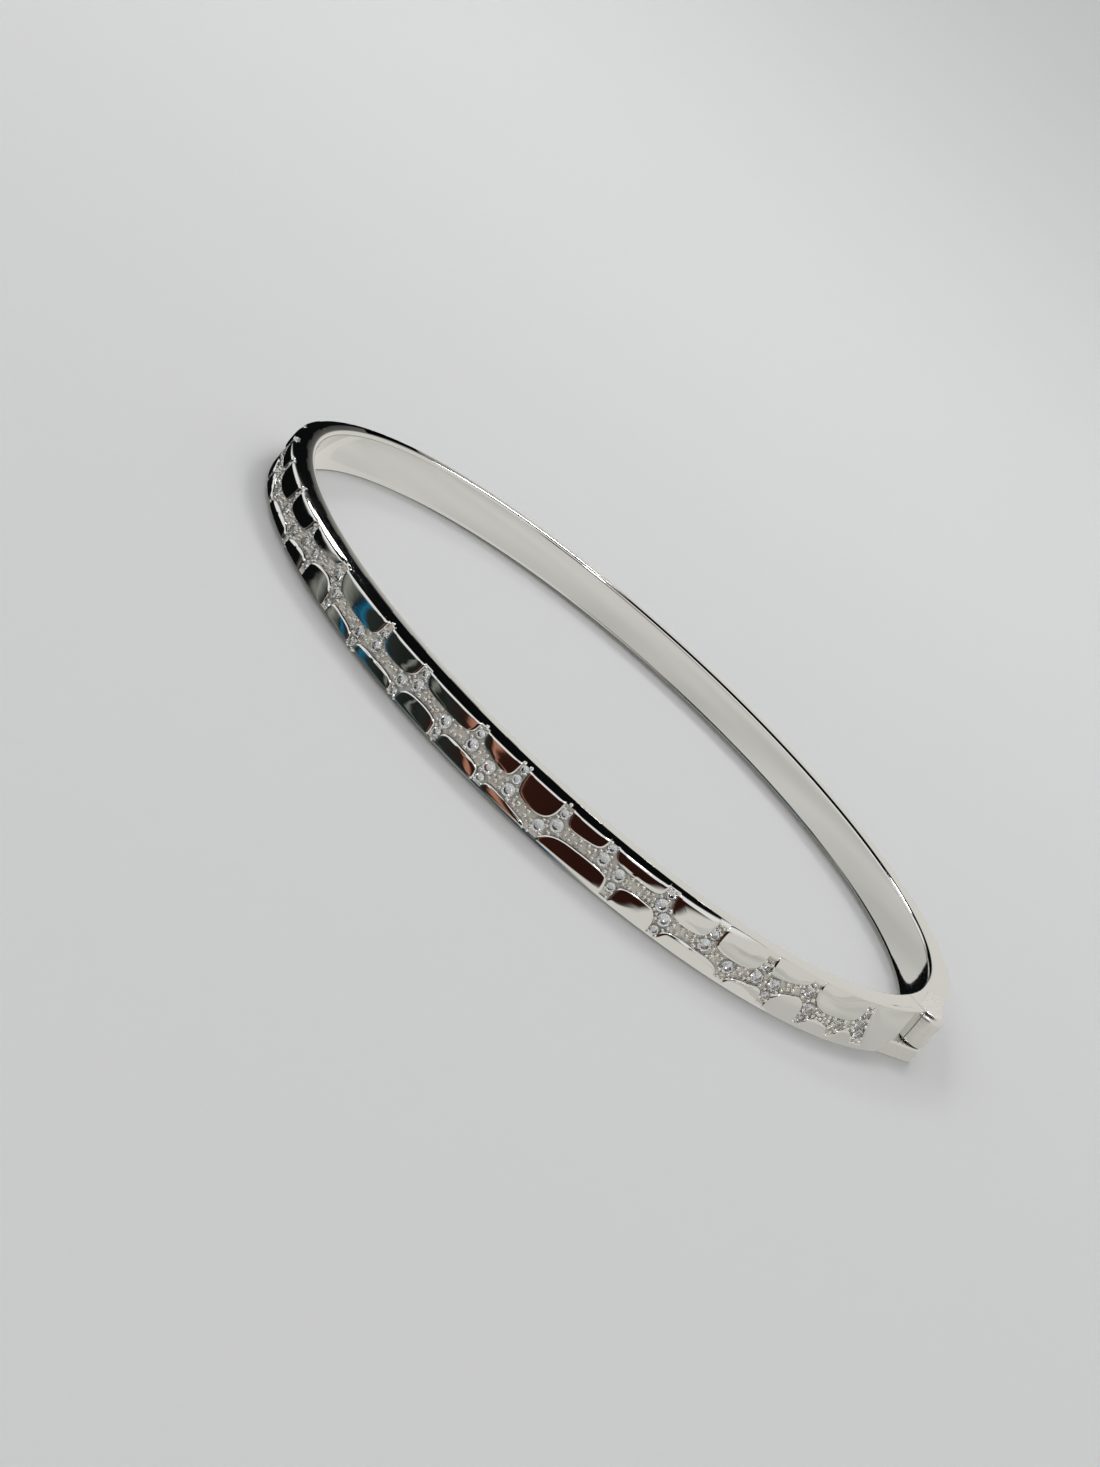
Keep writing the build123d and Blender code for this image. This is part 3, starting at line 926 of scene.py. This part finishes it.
studio = {
    "floorRadius": 1300.0, "wallRadius": 1150.0, "wallHeight": 1250.0,
    "middle": 20.0,                   # radius of the floor's innermost ring
    "cardDrop": 0.02,                 # the mirrored cards lie this far below the floor
}


# Pale floor that turns up into a wall all round: a flat disc, then a quarter circle, then a
# straight wall, spun about Z. Its middle is a small ring, closed by one face.
def makeFloor():
    turn = np.linspace(0, 2 * math.pi, 97)[:-1]
    bend = np.linspace(0, math.pi / 2, 17)
    flat = studio["floorRadius"] - studio["wallRadius"]
    curve = flat + studio["wallRadius"] * np.sin(bend)
    radius = np.concatenate([[studio["middle"], flat * 0.5], curve, [studio["floorRadius"]]])
    height = np.concatenate([[0, 0], studio["wallRadius"] * (1 - np.cos(bend)), [studio["wallHeight"]]])
    x = radius[:, None] * np.cos(turn)
    y = radius[:, None] * np.sin(turn)
    z = np.broadcast_to(height[:, None], x.shape) - halfHeight
    faces = gridFaces(len(radius), len(turn)) + [list(range(len(turn)))]
    return np.stack([x, y, z], -1).reshape(-1, 3), faces


floorPaper, tree = newMaterial("pale_studio_paper")
shade = addNode(tree, "ShaderNodeBsdfPrincipled", {"Base Color": linear("c6c7c7"), "Roughness": 0.9})
addNode(tree, "ShaderNodeOutputMaterial", None, {"Surface": shade.outputs[0]})
floor = meshPiece("floor", *makeFloor(), floorPaper)
# The floor is kept out of reflections; glowing cards below it paint part of its reflection instead.
floor.visible_glossy = False


# White rectangular lamp at a spot, turned towards a target. Places and sizes are in metres.
def softBox(name, spot, target, size, watts):
    lamp = bpy.data.lights.new(name, "AREA")
    lamp.shape = "RECTANGLE"
    lamp.size, lamp.size_y = size
    lamp.energy = watts
    holder = bpy.data.objects.new(name, lamp)
    holder.location = Vector(spot)
    holder.rotation_euler = (Vector(target) - Vector(spot)).to_track_quat("-Z", "Y").to_euler()
    scene.collection.objects.link(holder)
    return holder


softBox("key", (0.0, 0.5, 2.1), (0, 0.25, 0), (2.2, 2.2), 24.0).visible_glossy = False
softBox("backdrop", (-0.1, 0.2, 1.2), (-0.7, 1.2, 0.25), (1.0, 1.0), 1.0).visible_glossy = False
softBox("fill", (-0.5, -0.5, 0.6), (0, 0, 0), (0.5, 0.5), 1.6).visible_glossy = False
softBox("sparkle_back", (-0.1, 0.3, 0.42), (0, 0, 0), (0.12, 0.12), 0.5)
softBox("sparkle_left", (-0.42, 0.16, 0.33), (0, 0, 0), (0.09, 0.09), 0.35)
softBox("sparkle_front", (0.3, -0.35, 0.36), (0, 0, 0), (0.07, 0.07), 0.25)


# Pale card that only the metal sees, glowing by its own emission though it is no lamp: a painted
# reflection, as an ellipse with half axes x and y or as a rectangle between two values of each.
def glowingReflectionCard(name, x, y, strength, colour, ellipse=False):
    if ellipse:
        turn = np.linspace(0, 2 * math.pi, 65)[:-1]
        ring = np.stack([x * np.cos(turn), y * np.sin(turn)], -1)
    else:
        ring = np.array([(x[0], y[0]), (x[1], y[0]), (x[1], y[1]), (x[0], y[1])], float)
    points = np.column_stack([ring, np.full(len(ring), -halfHeight - studio["cardDrop"])])
    material, tree = newMaterial(name + "_paper")
    place = addNode(tree, "ShaderNodeTexCoord").outputs["Object"]
    glowPatches = addNode(tree, "ShaderNodeTexNoise", {"Scale": 1 / (14 * mm), "Detail": 1.0}, {"Vector": place})
    level = addNode(
        tree, "ShaderNodeMapRange",
        {"From Min": 0.3, "From Max": 0.7, "To Min": strength * 0.75, "To Max": strength},
        {"Value": glowPatches.outputs[0]})
    # Painted reflection: the card's glow is emission, brighter and dimmer in broad patches, seen only in
    # reflections.
    glow = addNode(tree, "ShaderNodeEmission", {"Color": linear(colour)}, {"Strength": level.outputs[0]})
    addNode(tree, "ShaderNodeOutputMaterial", None, {"Surface": glow.outputs[0]})
    card = meshPiece(name, points, [list(range(len(ring)))], material, flat=True)
    for kind in ("camera", "diffuse", "transmission", "shadow", "volume_scatter"):
        setattr(card, "visible_" + kind, False)


# One glowing card inside the ring, whose painted reflection brightens the inner face of the back half, and
# one beyond the hinge.
glowingReflectionCard("glowing_card_inside", 29.5, 24.5, 1.0, "dfded9", ellipse=True)
glowingReflectionCard("glowing_card_hinge", (29.0, 120.0), (-22.0, 90.0), 0.9, "e2e0da")


# Surroundings that the metal mirrors: a pale room on the hinge side and behind, dark cards in
# front and to the left with narrow gaps between them, a tall band of window light above the ones
# in front, and a dark roof.
def makeWorld():
    world = bpy.data.worlds.new("studio_room")
    scene.world = world
    world.use_nodes = True
    tree = world.node_tree
    tree.nodes.clear()
    toward = addNode(tree, "ShaderNodeTexCoord").outputs["Generated"]
    ripple = addNode(tree, "ShaderNodeTexNoise", {"Scale": 3.0, "Detail": 2.0}, {"Vector": toward})
    drift = addNode(
        tree, "ShaderNodeMapRange", {"To Min": -0.12, "To Max": 0.12}, {"Value": ripple.outputs[0]})
    pale, left, height, back, corner = (
        addNode(tree, "ShaderNodeVectorMath", {"operation": "DOT_PRODUCT", 1: room[way]}, {0: toward})
        for way in ("paleWay", "leftWay", "upWay", "backWay", "cornerWay"))
    wavy = addNode(
        tree, "ShaderNodeMath", {"operation": "ADD"}, {0: left.outputs["Value"], 1: drift.outputs[0]})
    place = addNode(
        tree, "ShaderNodeMapRange", {"From Min": -0.7, "From Max": 1.0}, {"Value": wavy.outputs[0]})
    dark = addNode(tree, "ShaderNodeValToRGB", None, {"Fac": place.outputs[0]})
    stops = dark.color_ramp.elements
    stops[0].color = linear(room["cards"][0][1])
    stops[1].color = linear(room["cards"][-1][1])
    for position, colour in room["cards"][1:-1]:
        stops.new(position).color = linear(colour)
    band = addNode(tree, "ShaderNodeValToRGB", None, {"Fac": height.outputs["Value"]})
    stops = band.color_ramp.elements
    stops[0].color = stops[1].color = (0, 0, 0, 1)
    for position, level in room["band"]:
        stops.new(position).color = (level, level, level, 1)
    above = addNode(
        tree, "ShaderNodeMapRange", {"From Min": 0.3, "From Max": 0.4}, {"Value": height.outputs["Value"]})
    roof = addNode(tree, "ShaderNodeMix", {"data_type": "RGBA", 7: linear(room["roof"])}, {
        "Factor": above.outputs[0], 6: dark.outputs[0]})
    ahead = addNode(
        tree, "ShaderNodeMapRange", {"From Min": 0.5, "From Max": 0.35}, {"Value": back.outputs["Value"]})
    bright = addNode(
        tree, "ShaderNodeMath", {"operation": "MULTIPLY"}, {0: band.outputs[0], 1: ahead.outputs[0]})
    lit = addNode(tree, "ShaderNodeMix", {"data_type": "RGBA", 7: linear(room["window"])}, {
        "Factor": bright.outputs[0], 6: roof.outputs[2]})
    share = addNode(
        tree, "ShaderNodeMapRange", {"From Min": 0.05, "From Max": 0.2, "interpolation_type": "SMOOTHSTEP"},
        {"Value": pale.outputs["Value"]})
    clear = addNode(
        tree, "ShaderNodeMapRange", {"From Min": 0.62, "From Max": 0.54},
        {"Value": corner.outputs["Value"]})
    paleShare = addNode(
        tree, "ShaderNodeMath", {"operation": "MULTIPLY"}, {0: share.outputs[0], 1: clear.outputs[0]})
    mix = addNode(tree, "ShaderNodeMix", {"data_type": "RGBA", 7: linear(room["pale"])}, {
        "Factor": paleShare.outputs[0], 6: lit.outputs[2]})
    background = addNode(tree, "ShaderNodeBackground", {"Strength": 1.0}, {"Color": mix.outputs[2]})
    addNode(tree, "ShaderNodeOutputWorld", None, {"Surface": background.outputs[0]})


room = {
    # directions whose dot product with the view's places each part of the room
    "paleWay": (0.6, 0.7, -0.4), "leftWay": (-1.0, 0.3, 0.0), "upWay": (-0.25, 0.0, 1.0),
    "backWay": (0.0, 1.0, 0.0), "cornerWay": (-1.0, 0.0, -0.4),
    "pale": "dddbd5",
    "window": "f4f4f2",
    "roof": "0b0c0d",
    # from the middle of the band round to the clasp: brown, grey-green, then black, with gaps
    "cards": [
        (0.0, "2c1611"), (0.22, "331a14"), (0.25, "b67f69"), (0.28, "a9745f"), (0.31, "2b1c17"),
        (0.42, "262a27"), (0.49, "1d221f"), (0.51, "85877f"), (0.535, "1b201d"), (0.66, "2a302c"),
        (0.7, "1d6c8f"), (0.735, "151a19"), (0.82, "90928a"), (0.87, "0e1010"), (1.0, "0b0c0c"),
    ],
    "band": [(0.1, 0.0), (0.17, 1.0), (0.62, 1.0), (0.7, 0.0)],
}
makeWorld()
scene.view_settings.view_transform = "Standard"
print("camera, floor and light made")

bpy.context.view_layer.update()
